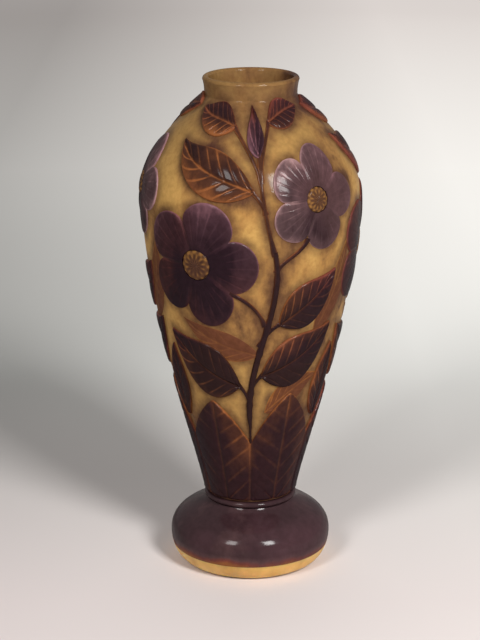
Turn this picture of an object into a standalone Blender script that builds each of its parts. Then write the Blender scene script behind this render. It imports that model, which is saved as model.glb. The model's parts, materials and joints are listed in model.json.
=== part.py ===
"""Footed baluster vase of overlay glass, modelled as the bodies of glass it is made of.

An amber casing is open at a short collar and carries raised islands of plum and
russet overlay glass. A wafer of glass joins it to a cushion foot, which has an
overlay of its own and a bare amber rim.
Metres, +Z up, origin at the centre of the ring that the foot stands on.
"""

import math

import bmesh
import bpy
from mathutils import Vector
from mathutils.geometry import interpolate_bezier

# Diameters of the outline's stations, from the lip down
LIP_DIAMETER = 0.0485
NECK_DIAMETER = 0.0465
BELLY_DIAMETER = 0.1105
WAIST_DIAMETER = 0.0452
FOOT_DIAMETER = 0.0835
BASE_DIAMETER = 0.065

# Overall height, and the rises between the stations. The flank takes what the others leave.
OVERALL_HEIGHT = 0.257
FOOT_BULGE_RISE = 0.0151
FOOT_RISE = 0.036
SHOULDER_RISE = 0.051
COLLAR_RISE = 0.009

# How far the outline keeps upright beside each station before it turns
FOOT_ROLL = 0.0142
WAIST_ROLL_BELOW = 0.0072
WAIST_ROLL_ABOVE = 0.016
BELLY_ROLL_BELOW = 0.060
BELLY_ROLL_ABOVE = 0.0275
NECK_ROLL = 0.003
COLLAR_ROLL = 0.005

# Glass thicknesses and the foot's underside
CASING_WALL = 0.0042
LIP_WALL = 0.0034
CASING_FLOOR = 0.010
CAVITY_ROUND = 0.014
WAFER_DIAMETER = 0.048
WAFER_THICKNESS = 0.003
FOOT_OVERLAY_WALL = 0.0016
BARE_RIM_RISE = 0.0088
STANDING_RING_WIDTH = 0.010
PONTIL_DEPTH = 0.0035

# Overlay relief on the casing
RELIEF_RISE = 0.0012
RELIEF_EDGE_SHARE = 0.45
STEM_WIDTH = 0.0036
SHEATH_TIPS = 6
SPRAYS = 3
PETALS = 5

# Glass bodies that are fused on the real vase keep this gap
JOINT_GAP = 0.0003

# Facets
TURN_STEPS = 48
FLANK_POINTS = 9
CAVITY_POINTS = 6
COLLAR_POINTS = 3
FOOT_POINTS = 6
ROUND_STEPS = 4
SMOOTH_POINTS = 60

# Heights that follow from the rises
WAIST_HEIGHT = FOOT_RISE
LIP_HEIGHT = OVERALL_HEIGHT
NECK_HEIGHT = LIP_HEIGHT - COLLAR_RISE
BELLY_HEIGHT = NECK_HEIGHT - SHOULDER_RISE
RIM_HEIGHT = LIP_HEIGHT - LIP_WALL / 2
SEAT_HEIGHT = WAIST_HEIGHT + WAFER_THICKNESS / 2 + JOINT_GAP
BODY_RISE = LIP_HEIGHT - SEAT_HEIGHT
BELLY_GIRTH = math.pi * BELLY_DIAMETER

# The overlay's drawing is one flat sheet, a turn wide and as tall as the body.
# Places on it are (share of a turn, share of the body's rise), from the spray's own centre line.
# Each blade runs from root to tip, and its midrib bows sideways by a share of its length.
STEM_SHARES = {"root": (0.000, 0.205), "tip": (0.034, 0.648), "bows": (0.10, -0.12)}
LEAF_SHARES = {
    "leaf_low_left": {"root": (-0.020, 0.318), "tip": (-0.152, 0.440), "bows": (0.10, 0.12), "width_share": 0.54},
    "leaf_low_right": {"root": (0.018, 0.344), "tip": (0.150, 0.458), "bows": (-0.08, -0.12), "width_share": 0.52},
    "leaf_low_middle": {"root": (0.167, 0.214), "tip": (0.172, 0.400), "bows": (0.08, 0.04), "width_share": 0.46},
    "leaf_mid_right": {"root": (0.045, 0.472), "tip": (0.142, 0.590), "bows": (-0.04, -0.10), "width_share": 0.54},
    "leaf_high_left": {"root": (0.004, 0.782), "tip": (-0.140, 0.878), "bows": (0.02, 0.10), "width_share": 0.40},
    "leaf_top_left": {"root": (-0.034, 0.908), "tip": (-0.152, 0.944), "bows": (-0.04, 0.06), "width_share": 0.34},
    "leaf_top_right": {"root": (0.038, 0.916), "tip": (0.148, 0.942), "bows": (0.06, 0.06), "width_share": 0.33},
}
BUD_SHARES = {"root": (0.014, 0.850), "tip": (0.002, 0.952), "bows": (0.08, -0.08), "width_share": 0.52}
BLOSSOM_SHARES = {
    "blossom_large": {"centre": (-0.083, 0.612), "radius_share": 0.149, "lean": 0.2},
    "blossom_small": {"centre": (0.099, 0.758), "radius_share": 0.118, "lean": 0.7},
}
BLOSSOM_EYE_SHARE = 0.24
PETAL_NOTCH_SHARE = 0.34


def upright_curve(low, high, low_roll, high_roll, count):
    """Outline points (radius, height) of a curve that leaves low and meets high upright."""
    knots = (low, (low[0], low[1] + low_roll), (high[0], high[1] - high_roll), high)
    knots = [Vector((radius, height, 0.0)) for radius, height in knots]
    return [(point.x, point.y) for point in interpolate_bezier(*knots, count)]


def joined(*stretches):
    """One outline from stretches that share their end points."""
    points = list(stretches[0])
    for stretch in stretches[1:]:
        points.extend(stretch[1:])
    return points


def foot_outline():
    """The foot's outer outline: rounded from the standing ring to its widest place, then up to the waist."""
    overhang = (FOOT_DIAMETER - BASE_DIAMETER) / 2
    bulge = []
    for step in range(ROUND_STEPS + 1):
        angle = step / ROUND_STEPS * math.pi / 2
        bulge.append((BASE_DIAMETER / 2 + overhang * math.sin(angle), FOOT_BULGE_RISE * (1 - math.cos(angle))))
    waist = (WAIST_DIAMETER / 2, WAIST_HEIGHT)
    return joined(bulge, upright_curve(bulge[-1], waist, FOOT_ROLL, WAIST_ROLL_BELOW, FOOT_POINTS))


def body_outline(flank_points, collar_points):
    """The body's outer outline, from the waist up to the lip."""
    waist = (WAIST_DIAMETER / 2, WAIST_HEIGHT)
    belly = (BELLY_DIAMETER / 2, BELLY_HEIGHT)
    neck = (NECK_DIAMETER / 2, NECK_HEIGHT)
    lip = (LIP_DIAMETER / 2, RIM_HEIGHT)
    return joined(
        upright_curve(waist, belly, WAIST_ROLL_ABOVE, BELLY_ROLL_BELOW, flank_points),
        upright_curve(belly, neck, BELLY_ROLL_ABOVE, NECK_ROLL, flank_points),
        upright_curve(neck, lip, COLLAR_ROLL, 0.0, collar_points),
    )


SMOOTH_OUTLINE = body_outline(SMOOTH_POINTS, SMOOTH_POINTS)


def radius_at(height):
    """The body's outer radius at a height."""
    for (low_radius, low), (high_radius, high) in zip(SMOOTH_OUTLINE, SMOOTH_OUTLINE[1:]):
        if height <= high:
            share = (height - low) / (high - low)
            return low_radius + share * (high_radius - low_radius)
    return SMOOTH_OUTLINE[-1][0]


def trimmed(outline, low, high):
    """The part of an upward outline between two heights, cut square at both."""
    kept = []
    for (radius, height), (next_radius, next_height) in zip(outline, outline[1:]):
        for cut in (low, high):
            if height < cut < next_height:
                share = (cut - height) / (next_height - height)
                kept.append((radius + share * (next_radius - radius), cut))
        if low <= next_height <= high:
            kept.append((next_radius, next_height))
    if low <= outline[0][1] <= high:
        kept.insert(0, outline[0])
    return sorted(kept, key=lambda point: point[1])


def offset(outline, distance):
    """The outline moved square to itself, inwards for a positive distance."""
    moved = []
    for index, (radius, height) in enumerate(outline):
        before = outline[max(index - 1, 0)]
        after = outline[min(index + 1, len(outline) - 1)]
        run = Vector((after[0] - before[0], after[1] - before[1])).normalized()
        moved.append((radius - run.y * distance, height + run.x * distance))
    return moved


def glass(name, colour, roughness):
    """A glass material with one colour."""
    material = bpy.data.materials.new(name)
    material.use_nodes = True
    shader = material.node_tree.nodes["Principled BSDF"]
    shader.inputs["Base Color"].default_value = (*colour, 1.0)
    shader.inputs["Roughness"].default_value = roughness
    shader.inputs["Metallic"].default_value = 0.0
    return material


def placed(name, mesh, material, parent):
    """A part of the vase, under its parent, with its material."""
    part = bpy.data.objects.new(name, mesh)
    if not mesh.materials:
        mesh.materials.append(material)
    bpy.data.collections["baluster_vase"].objects.link(part)
    part.parent = parent
    return part


def turned(name, outline, closed, material, parent):
    """A turned part. Its outline runs down the outer side, and is open at the axis or closed."""
    bm = bmesh.new()
    corners = [bm.verts.new((radius, 0.0, height)) for radius, height in outline]
    ends = corners[1:] + corners[:1] if closed else corners[1:]
    for start, end in zip(corners, ends):
        bm.edges.new((start, end))
    mesh = bpy.data.meshes.new(name)
    bm.to_mesh(mesh)
    bm.free()
    part = placed(name, mesh, material, parent)
    screw = part.modifiers.new("turn", "SCREW")
    screw.steps = screw.render_steps = TURN_STEPS
    screw.use_merge_vertices = True
    screw.merge_threshold = 0.00001
    screw.use_smooth_shade = True
    return part


def casing(material, parent):
    """The amber vessel: outer wall, fire-rounded lip, and a cavity with a round floor."""
    roll = LIP_WALL / 2
    outer = trimmed(body_outline(FLANK_POINTS, COLLAR_POINTS), SEAT_HEIGHT, RIM_HEIGHT)
    lip = []
    for step in range(ROUND_STEPS):
        angle = math.pi - step / ROUND_STEPS * math.pi
        lip.append((LIP_DIAMETER / 2 - roll + roll * math.cos(angle), RIM_HEIGHT + roll * math.sin(angle)))
    floor = SEAT_HEIGHT + CASING_FLOOR
    lining = trimmed(body_outline(CAVITY_POINTS, COLLAR_POINTS), floor + CAVITY_ROUND, NECK_HEIGHT)
    inner = offset(lining, CASING_WALL)
    bowl_radius, bowl_height = inner[0]
    bowl = []
    for step in range(ROUND_STEPS):
        angle = step / ROUND_STEPS * math.pi / 2
        drop = (bowl_height - floor) * math.cos(angle)
        bowl.append((bowl_radius * math.sin(angle), bowl_height - drop))
    outline = bowl + inner + lip + outer[::-1] + [(0.0, SEAT_HEIGHT)]
    return turned("body_casing", outline, False, material, parent)


def wafer(material, parent):
    """The wafer of glass that joins the body to the foot, with a round edge."""
    low, high = WAIST_HEIGHT - WAFER_THICKNESS / 2, WAIST_HEIGHT + WAFER_THICKNESS / 2
    core = (WAFER_DIAMETER - WAFER_THICKNESS) / 2
    edge = []
    for step in range(ROUND_STEPS + 1):
        angle = math.pi / 2 - step / ROUND_STEPS * math.pi
        swell = WAFER_THICKNESS / 2
        edge.append((core + swell * math.cos(angle), WAIST_HEIGHT + swell * math.sin(angle)))
    return turned("joining_wafer", [(0.0, high)] + edge + [(0.0, low)], False, material, parent)


def foot_parts(core_material, overlay_material, parent):
    """The cushion foot: an amber core with a bare rim, and the overlay seated on that rim."""
    outline = foot_outline()
    top = WAIST_HEIGHT - WAFER_THICKNESS / 2 - JOINT_GAP
    skin = trimmed(outline, BARE_RIM_RISE + JOINT_GAP, top)
    lining = trimmed(offset(skin, FOOT_OVERLAY_WALL), BARE_RIM_RISE + JOINT_GAP, top)
    turned("foot_overlay", skin[::-1] + lining, True, overlay_material, parent)

    seat = trimmed(offset(skin, FOOT_OVERLAY_WALL + JOINT_GAP), BARE_RIM_RISE, top)
    rim = trimmed(outline, 0.0, BARE_RIM_RISE)
    ring_inner = BASE_DIAMETER / 2 - STANDING_RING_WIDTH
    dish = []
    for step in range(ROUND_STEPS + 1):
        share = step / ROUND_STEPS
        dish.append((ring_inner * (1 - share), PONTIL_DEPTH * math.sin(share * math.pi / 2)))
    core = [(0.0, top)] + seat[::-1] + rim[::-1] + dish
    turned("foot_core", core, False, core_material, parent)


def wrapped(x, y):
    """The place and outward normal on the casing for a point of the overlay's flat sheet."""
    turn = 2 * math.pi * x / BELLY_GIRTH
    height = SEAT_HEIGHT + y
    reach = COLLAR_RISE / 4
    slope = (radius_at(height + reach) - radius_at(height - reach)) / (2 * reach)
    out = Vector((math.sin(turn), -math.cos(turn), 0.0))
    normal = (out - Vector((0.0, 0.0, slope))).normalized()
    return out * radius_at(height) + Vector((0.0, 0.0, height)), normal


def sheet_point(place):
    """A place in shares, as metres on the overlay's flat sheet."""
    return Vector((place[0] * BELLY_GIRTH, place[1] * BODY_RISE))


def relief(name, columns, rows, shape):
    """A raised island: shape maps a grid of (along, across), 0 to 1 and -1 to 1, to the sheet.

    The grid is wrapped round the casing and gets its thickness from Solidify, thinner at its border.
    """
    bm = bmesh.new()
    bmesh.ops.create_grid(bm, x_segments=columns, y_segments=rows, size=0.5)
    heart = bm.verts.layers.float.new("heart")
    for vert in bm.verts:
        along, across = vert.co.x + 0.5, vert.co.y * 2
        point, vert[heart] = shape(along, across)
        place, normal = wrapped(*point)
        vert.co = place + normal * JOINT_GAP
    bmesh.ops.remove_doubles(bm, verts=bm.verts, dist=0.00002)
    mesh = bpy.data.meshes.new(name)
    hearts = [vert[heart] for vert in bm.verts]
    bm.to_mesh(mesh)
    bm.free()
    mesh.shade_smooth()
    return mesh, hearts


def raise_relief(part, hearts):
    """Gives a wrapped sheet the relief's thickness, full where its heart is 1."""
    group = part.vertex_groups.new(name="heart")
    for index, weight in enumerate(hearts):
        group.add([index], weight, "REPLACE")
    solidify = part.modifiers.new("relief", "SOLIDIFY")
    solidify.thickness = RELIEF_RISE
    solidify.offset = 1.0
    solidify.vertex_group = "heart"
    solidify.thickness_vertex_group = RELIEF_EDGE_SHARE


def blade(root, tip, bows, half_width, domed):
    """The shape of a stem, leaf or bud: a bowed midrib with a half width along it, in metres."""
    start, end = sheet_point(root), sheet_point(tip)
    run = end - start
    side = Vector((-run.y, run.x))
    knots = (start, start + run / 3 + side * bows[0], start + run * 2 / 3 + side * bows[1], end)

    def shape(along, across):
        rest = 1 - along
        shares = (rest**3, 3 * rest**2 * along, 3 * rest * along**2, along**3)
        point = sum((knot * share for knot, share in zip(knots, shares)), Vector((0.0, 0.0)))
        pulls = (rest**2, 2 * rest * along, along**2)
        steps = [after - before for before, after in zip(knots, knots[1:])]
        heading = sum((step * pull for step, pull in zip(steps, pulls)), Vector((0.0, 0.0))).normalized()
        square = Vector((-heading.y, heading.x))
        reach = half_width(along) * run.length
        return point + square * across * reach, domed(along, across)

    return shape


def leaf_shape(leaf):
    """A pointed leaf, widest below its middle."""
    width = leaf["width_share"] / 2
    return blade(
        leaf["root"],
        leaf["tip"],
        leaf["bows"],
        lambda along: width * max(0.0, math.sin(math.pi * along**0.8)),
        lambda along, across: math.sin(math.pi * along) * (1 - abs(across)),
    )


def stem_shape():
    """A stem that thins towards its tip."""
    rise = (sheet_point(STEM_SHARES["tip"]) - sheet_point(STEM_SHARES["root"])).length
    share = STEM_WIDTH / 2 / rise
    return blade(
        STEM_SHARES["root"],
        STEM_SHARES["tip"],
        STEM_SHARES["bows"],
        lambda along: share * (1.25 - 0.5 * along),
        lambda along, across: 0.6,
    )


def blossom_shape(blossom):
    """An open blossom of round petals about a hole for its eye."""
    centre = sheet_point(blossom["centre"])
    outer = blossom["radius_share"] * BODY_RISE
    inner = outer * BLOSSOM_EYE_SHARE + JOINT_GAP

    def shape(along, across):
        angle = blossom["lean"] - 2 * math.pi * along
        petal = abs(math.cos(PETALS * angle / 2)) ** 0.6
        edge = outer * (1 - PETAL_NOTCH_SHARE * (1 - petal))
        share = (across + 1) / 2
        reach = inner + share * (edge - inner)
        around = Vector((math.cos(angle), math.sin(angle)))
        return centre + around * reach, petal * math.sin(math.pi * share)

    return shape


def eye_shape(blossom):
    """The round boss in the middle of a blossom."""
    centre = sheet_point(blossom["centre"])
    outer = blossom["radius_share"] * BODY_RISE * BLOSSOM_EYE_SHARE - JOINT_GAP

    def shape(along, across):
        angle = -2 * math.pi * along
        share = (across + 1) / 2
        return centre + Vector((math.cos(angle), math.sin(angle))) * outer * share, 1 - share

    return shape


def sheath_shape():
    """The overlay left whole above the waist, which ends in pointed leaf tips of two heights."""
    low, valley = 0.006, 0.165
    tips = (0.292, 0.272)

    def shape(along, across):
        cell = along * SHEATH_TIPS
        off_tip = abs(2 * (cell % 1.0) - 1)
        tip = tips[int(cell) % len(tips)]
        top = valley + (tip - valley) * (1 - off_tip**1.3)
        share = (across + 1) / 2
        rise = low + share * (top - low)
        return sheet_point((along, rise)), math.sin(math.pi * share) * (1 - 0.7 * off_tip)

    return shape


def empty(name, parent=None, turn=0.0):
    """A frame for parts, turned about the vase's axis."""
    frame = bpy.data.objects.new(name, None)
    bpy.data.collections["baluster_vase"].objects.link(frame)
    frame.rotation_euler.z = turn
    frame.parent = parent
    return frame


def spray_meshes():
    """The islands of one spray: name, mesh, hearts and the glass they are cut from."""
    made = [("stem", *relief("stem", 24, 1, stem_shape()), "stem_brown")]
    for name, leaf in LEAF_SHARES.items():
        made.append((name, *relief(name, 7, 4, leaf_shape(leaf)), "leaf_russet"))
    made.append(("bud", *relief("bud", 6, 2, leaf_shape(BUD_SHARES)), "blossom_plum"))
    for name, blossom in BLOSSOM_SHARES.items():
        made.append((name, *relief(name, 30, 3, blossom_shape(blossom)), "blossom_plum"))
        eye = name.replace("blossom", "eye")
        made.append((eye, *relief(eye, 10, 2, eye_shape(blossom)), "eye_ochre"))
    return made


def main():
    for old in list(bpy.data.objects):
        bpy.data.objects.remove(old)
    bpy.context.scene.collection.children.link(bpy.data.collections.new("baluster_vase"))
    finishes = {
        "casing_amber": glass("casing_amber", (0.42, 0.23, 0.065), 0.28),
        "sheath_plum": glass("sheath_plum", (0.035, 0.014, 0.018), 0.25),
        "blossom_plum": glass("blossom_plum", (0.105, 0.035, 0.045), 0.25),
        "leaf_russet": glass("leaf_russet", (0.085, 0.032, 0.022), 0.28),
        "stem_brown": glass("stem_brown", (0.030, 0.014, 0.012), 0.28),
        "eye_ochre": glass("eye_ochre", (0.30, 0.13, 0.035), 0.28),
    }
    vase = empty("vase")
    casing(finishes["casing_amber"], vase)
    wafer(finishes["sheath_plum"], vase)
    foot_parts(finishes["casing_amber"], finishes["sheath_plum"], vase)
    mesh, hearts = relief("base_sheath", SHEATH_TIPS * 8, 4, sheath_shape())
    raise_relief(placed("base_sheath", mesh, finishes["sheath_plum"], vase), hearts)

    islands = spray_meshes()
    for number in range(SPRAYS):
        spray = empty(f"spray_{number + 1}", vase, 2 * math.pi * number / SPRAYS)
        for name, mesh, hearts, finish in islands:
            part = placed(f"spray{number + 1}_{name}", mesh, finishes[finish], spray)
            raise_relief(part, hearts)


main()
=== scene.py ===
"""Looks of a footed baluster vase in amber glass with carved plum and russet overlay.

The vessel and foot are spun from their outlines. The overlay's sprays are drawn on one flat
sheet, wrapped round the body and carved, so that thin glass at the edges lets the amber through.
"""

import json
from bisect import bisect
from collections import namedtuple
from math import cos, exp, pi, radians, sin, sqrt

import bmesh
import bpy
from bpy.props import FloatProperty, FloatVectorProperty, IntProperty, PointerProperty
from bpy.types import Operator, Panel, PropertyGroup
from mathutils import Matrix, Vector
from mathutils.geometry import interpolate_bezier
from mathutils.kdtree import KDTree

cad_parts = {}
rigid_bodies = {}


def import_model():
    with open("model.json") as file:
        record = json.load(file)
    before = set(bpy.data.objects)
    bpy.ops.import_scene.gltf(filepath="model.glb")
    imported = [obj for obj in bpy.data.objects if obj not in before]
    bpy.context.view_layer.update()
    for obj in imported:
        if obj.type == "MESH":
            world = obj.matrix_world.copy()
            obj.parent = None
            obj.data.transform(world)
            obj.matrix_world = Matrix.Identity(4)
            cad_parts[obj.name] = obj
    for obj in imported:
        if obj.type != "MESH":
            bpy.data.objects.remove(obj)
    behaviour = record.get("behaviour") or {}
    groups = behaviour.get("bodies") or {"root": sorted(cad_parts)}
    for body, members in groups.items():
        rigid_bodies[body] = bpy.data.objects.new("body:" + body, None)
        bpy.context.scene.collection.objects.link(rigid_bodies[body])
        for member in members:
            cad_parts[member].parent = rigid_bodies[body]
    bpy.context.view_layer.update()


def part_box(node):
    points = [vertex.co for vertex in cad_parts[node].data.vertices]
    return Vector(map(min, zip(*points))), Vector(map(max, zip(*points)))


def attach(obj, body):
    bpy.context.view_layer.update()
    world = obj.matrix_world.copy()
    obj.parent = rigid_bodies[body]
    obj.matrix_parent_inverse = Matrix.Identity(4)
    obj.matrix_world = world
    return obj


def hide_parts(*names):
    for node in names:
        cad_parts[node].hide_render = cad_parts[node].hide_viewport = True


bl_info = {
    "name": "Overlay glass vase",
    "version": (1, 0, 0),
    "blender": (4, 5, 0),
    "location": "3D View > Sidebar > Vase",
    "description": "Models and lights a footed baluster vase in carved overlay glass",
    "category": "Object",
}

for leftover in list(bpy.data.objects):
    bpy.data.objects.remove(leftover)
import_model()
CASING_LOW, CASING_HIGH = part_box("body_casing")
WAFER_LOW, WAFER_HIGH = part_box("joining_wafer")
OVERLAY_LOW, OVERLAY_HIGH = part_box("foot_overlay")

# The sprays by number, and their places as shares of a turn.
SPRAYS = {1: 0.0, 2: 1 / 3, 3: 2 / 3}
PETALS = 5
SHEATH_TIPS = 6

# Places on the overlay's flat sheet are shares of a turn and of the body's rise. A blade's bows and
# width are shares of its length, and a blossom's radius is a share of the body's rise.
Blade = namedtuple("Blade", "root tip bows width", defaults=(None,))
Blossom = namedtuple("Blossom", "centre radius lean")

STEM = Blade((0.000, 0.205), (0.034, 0.648), (0.10, -0.12))
# Where stalks spring from the stem, as shares of its length.
STEM_JOINTS = (0.14, 0.21, 0.45, 0.60, 0.86)
LEAVES = {
    "leaf_low_left": Blade((-0.020, 0.318), (-0.152, 0.440), (0.10, 0.12), 0.54),
    "leaf_low_right": Blade((0.018, 0.344), (0.150, 0.458), (-0.08, -0.12), 0.52),
    "leaf_low_middle": Blade((0.167, 0.214), (0.172, 0.400), (0.08, 0.04), 0.46),
    "leaf_mid_right": Blade((0.045, 0.472), (0.142, 0.590), (-0.04, -0.10), 0.54),
    "leaf_high_left": Blade((0.004, 0.782), (-0.140, 0.878), (0.02, 0.10), 0.40),
    "leaf_top_left": Blade((-0.034, 0.908), (-0.152, 0.944), (-0.04, 0.06), 0.34),
    "leaf_top_right": Blade((0.038, 0.916), (0.148, 0.942), (0.06, 0.06), 0.33),
}
BUD = Blade((0.014, 0.850), (0.002, 0.952), (0.08, -0.08), 0.52)
BLOSSOMS = {
    "large": Blossom((-0.083, 0.612), 0.149, 0.2),
    "small": Blossom((0.099, 0.758), 0.118, 0.7),
}
# Thin stalks that tie the leaves, the bud and the blossoms to the stem.
STALKS = (
    Blade((-0.003, 0.272), (-0.024, 0.322), (-0.10, -0.10)),
    Blade((-0.001, 0.300), (0.022, 0.348), (0.10, 0.10)),
    Blade((0.013, 0.420), (0.049, 0.477), (0.12, 0.10)),
    Blade((0.022, 0.472), (-0.032, 0.553), (-0.16, -0.10)),
    Blade((0.036, 0.600), (0.084, 0.674), (0.10, -0.14)),
    Blade((0.034, 0.640), (0.014, 0.858), (0.04, 0.06)),
    Blade((0.0205, 0.735), (0.000, 0.786), (-0.10, -0.10)),
    Blade((0.0155, 0.800), (-0.037, 0.910), (-0.14, -0.10)),
    Blade((0.0155, 0.806), (0.041, 0.918), (0.14, 0.08)),
    Blade((0.000, 0.166), (-0.002, 0.240), (0.00, 0.00)),
)
# Thin leaves of a second, lighter layer, which run on under the pieces above them.
UNDER_LEAVES = (
    Blade((0.112, 0.440), (0.168, 0.652), (-0.12, -0.08), 0.34),
    Blade((0.014, 0.398), (-0.120, 0.478), (0.06, 0.10), 0.30),
    Blade((0.030, 0.246), (0.146, 0.330), (0.06, 0.10), 0.36),
)
# The calyx on the body's rise: its lower edge, the valleys between its leaves, and their tips.
SHEATH_EDGE, SHEATH_VALLEY, SHEATH_PEAKS = 0.006, 0.165, (0.292, 0.272)
# Shares of a blossom's radius that its eye and the notches between its petals take.
EYE_SHARE, NOTCH_SHARE = 0.24, 0.34
# Side veins of a leaf, a thin leaf and a bud. A higher sharpness makes them narrower.
LEAF_VEINS, UNDER_VEINS, BUD_VEINS = 7, 6, 2
VEIN_SHARPNESS = 8
# Widths of the cuts along the midribs of a leaf and of the calyx, in metres.
LEAF_CUT, SHEATH_CUT = 0.0006, 0.0007
# Relief of a thin leaf and of a border's edge, as shares of the full relief.
UNDER_RELIEF, BORDER_RELIEF = 0.18, 0.3

# Columns along and rows across the grids that islands of overlay are carved from.
SHEATH_GRID, STEM_GRID, STALK_GRID = (SHEATH_TIPS * 60, 96), (160, 10), (48, 8)
LEAF_GRID, UNDER_GRID, BUD_GRID = (110, 60), (90, 40), (60, 28)
BLOSSOM_GRID, EYE_GRID = (420, 24), (84, 14)
# Points in the outlines of the casing, of the surface under the overlay and of the foot.
CASING_POINTS, SURFACE_POINTS, FOOT_POINTS = 84, 90, 40
# Angles, in degrees, past which an edge of a turned and of a carved piece is sharp.
TURNED_CREASE, CARVED_CREASE = 40, 60

BLACK, WHITE = (0.0, 0.0, 0.0), (1.0, 1.0, 1.0)
# FAR_SHADE is painted shade that dims the table's far glow.
SPECK, FAR_SHADE = (0.50, 0.46, 0.44), (0.755, 0.715, 0.715)
# Weights of the clear gloss over each glass.
GROUND_COAT, RIM_COAT, FOOT_COAT, OVERLAY_COAT, UNDER_COAT = 0.2, 0.4, 0.3, 0.17, 0.12
# Heights between which the ground darkens to waist and collar, the overlay thins up the body, the
# standing ring is scuffed, and the foot's overlay is ground thin.
WAIST_SHADE, COLLAR_SHADE, OVERLAY_THINS = (0.045, 0.115), (0.205, 0.252), (0.14, 0.21)
RING_SCUFFS, FOOT_EDGE = (0.0003, 0.0012), 0.006

# Widths and heights of the lamps.
SOFTBOX, WIDE_LAMP = (0.30, 0.42), (4.0, 1.1)
# The table's radius, and where its looks change: across it, towards its back and out from the vase.
# Across it the paper is painted darker on the left and lighter on the right as painted light, and
# further out a painted glow stands in for lit paper.
TABLE_RADIUS = 6.0
PAPER_ACROSS, DISTANCE_ACROSS = (-0.22, 0.63), (-0.26, 0.20)
# Under the lamps and out past PAPER_TO_DISTANCE the table is seen as a painted glow in place of lit
# paper, dimmed between the reaches in DISTANCE_DIMS.
UNDER_LAMPS, FRONT_TO_BEHIND = (-0.40, -0.14), (-0.06, 0.30)
PAPER_TO_DISTANCE, DISTANCE_DIMS, TO_HORIZON = (0.42, 0.95), (0.8, 2.0), (1.9, 4.5)


def setting(kind, **limits):
    """A maker of settings of one kind, which takes their name, description and default."""

    def make(name, description, default):
        return kind(name=name, description=description, default=default, **limits)

    return make


length = setting(FloatProperty, min=0.0, precision=4, unit="LENGTH")
rotation = setting(FloatProperty, subtype="ANGLE")
number = setting(FloatProperty, min=0.0)
watts = setting(FloatProperty, min=0.0, unit="POWER")
position = setting(FloatVectorProperty, subtype="XYZ", unit="LENGTH")
colour = setting(FloatVectorProperty, min=0.0, max=1.0, subtype="COLOR")
facets = setting(IntProperty, min=24)


class VaseSizes(PropertyGroup):
    """Sizes of the glass, as the solids of the part have them."""

    lip_height: length("Lip height", "Top of the lip above the table", CASING_HIGH.z)
    seat_height: length("Seat height", "Flat underside of the vessel", CASING_LOW.z)
    belly_height: length("Belly height", "Widest place of the body", 0.197)
    neck_height: length("Neck height", "Narrowest place of the collar", 0.248)
    waist_height: length("Waist height", "Narrowest place above the foot", 0.036)
    foot_bulge_rise: length("Foot bulge rise", "Height of the foot's widest place", 0.0151)
    lip_diameter: length("Lip diameter", "Outside of the lip", 0.0485)
    neck_diameter: length("Neck diameter", "Outside of the collar", 0.0465)
    belly_diameter: length("Belly diameter", "Outside of the casing", CASING_HIGH.x - CASING_LOW.x)
    waist_diameter: length("Waist diameter", "Outside at the waist", 0.0452)
    foot_diameter: length("Foot diameter", "Widest place", OVERLAY_HIGH.x - OVERLAY_LOW.x)
    base_diameter: length("Base diameter", "Outside of the standing ring", 0.065)
    foot_roll: length("Foot roll", "Upright run of the outline above the bulge", 0.0142)
    waist_roll_below: length("Waist roll below", "Upright run under the waist", 0.0072)
    waist_roll_above: length("Waist roll above", "Upright run over the waist", 0.016)
    belly_roll_below: length("Belly roll below", "Upright run under the belly", 0.060)
    belly_roll_above: length("Belly roll above", "Upright run over the belly", 0.0275)
    neck_roll: length("Neck roll", "Upright run under the neck", 0.003)
    collar_roll: length("Collar roll", "Upright run over the neck", 0.005)
    ring_width: length("Ring width", "Width of the standing ring", 0.010)
    pontil_depth: length("Pontil depth", "Depth of the polished dish under the foot", 0.0035)
    wall: length("Wall", "Thickness of the casing", 0.0042)
    lip_wall: length("Lip wall", "Thickness at the lip", 0.0034)
    floor: length("Floor", "Thickness of glass under the cavity", 0.010)
    cavity_round: length("Cavity round", "Rise of the cavity's round floor", 0.014)
    seat_round: length("Seat round", "Rounding of the vessel's lower edge", 0.0006)
    foot_cover: length("Foot cover", "Thickness of the overlay on the foot", 0.0016)
    seam: length("Seam", "Hairline between the foot and its overlay", 0.00003)
    relief: length("Relief", "Height of the overlay over the casing", 0.0015)
    edge_roll: length("Edge roll", "Width of the overlay's rounded border", 0.0013)
    sink: length("Sink", "How deep the overlay is fused into the casing", 0.0002)
    stem_width: length("Stem width", "Width of a stem at its middle", 0.0036)
    stalk_width: length("Stalk width", "Width of a stalk at its middle", 0.0019)
    stain_reach: length("Stain reach", "How far the overlay stains the ground beside it", 0.0037)
    steps: facets("Steps", "Facets round the turned pieces", 240)


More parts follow.
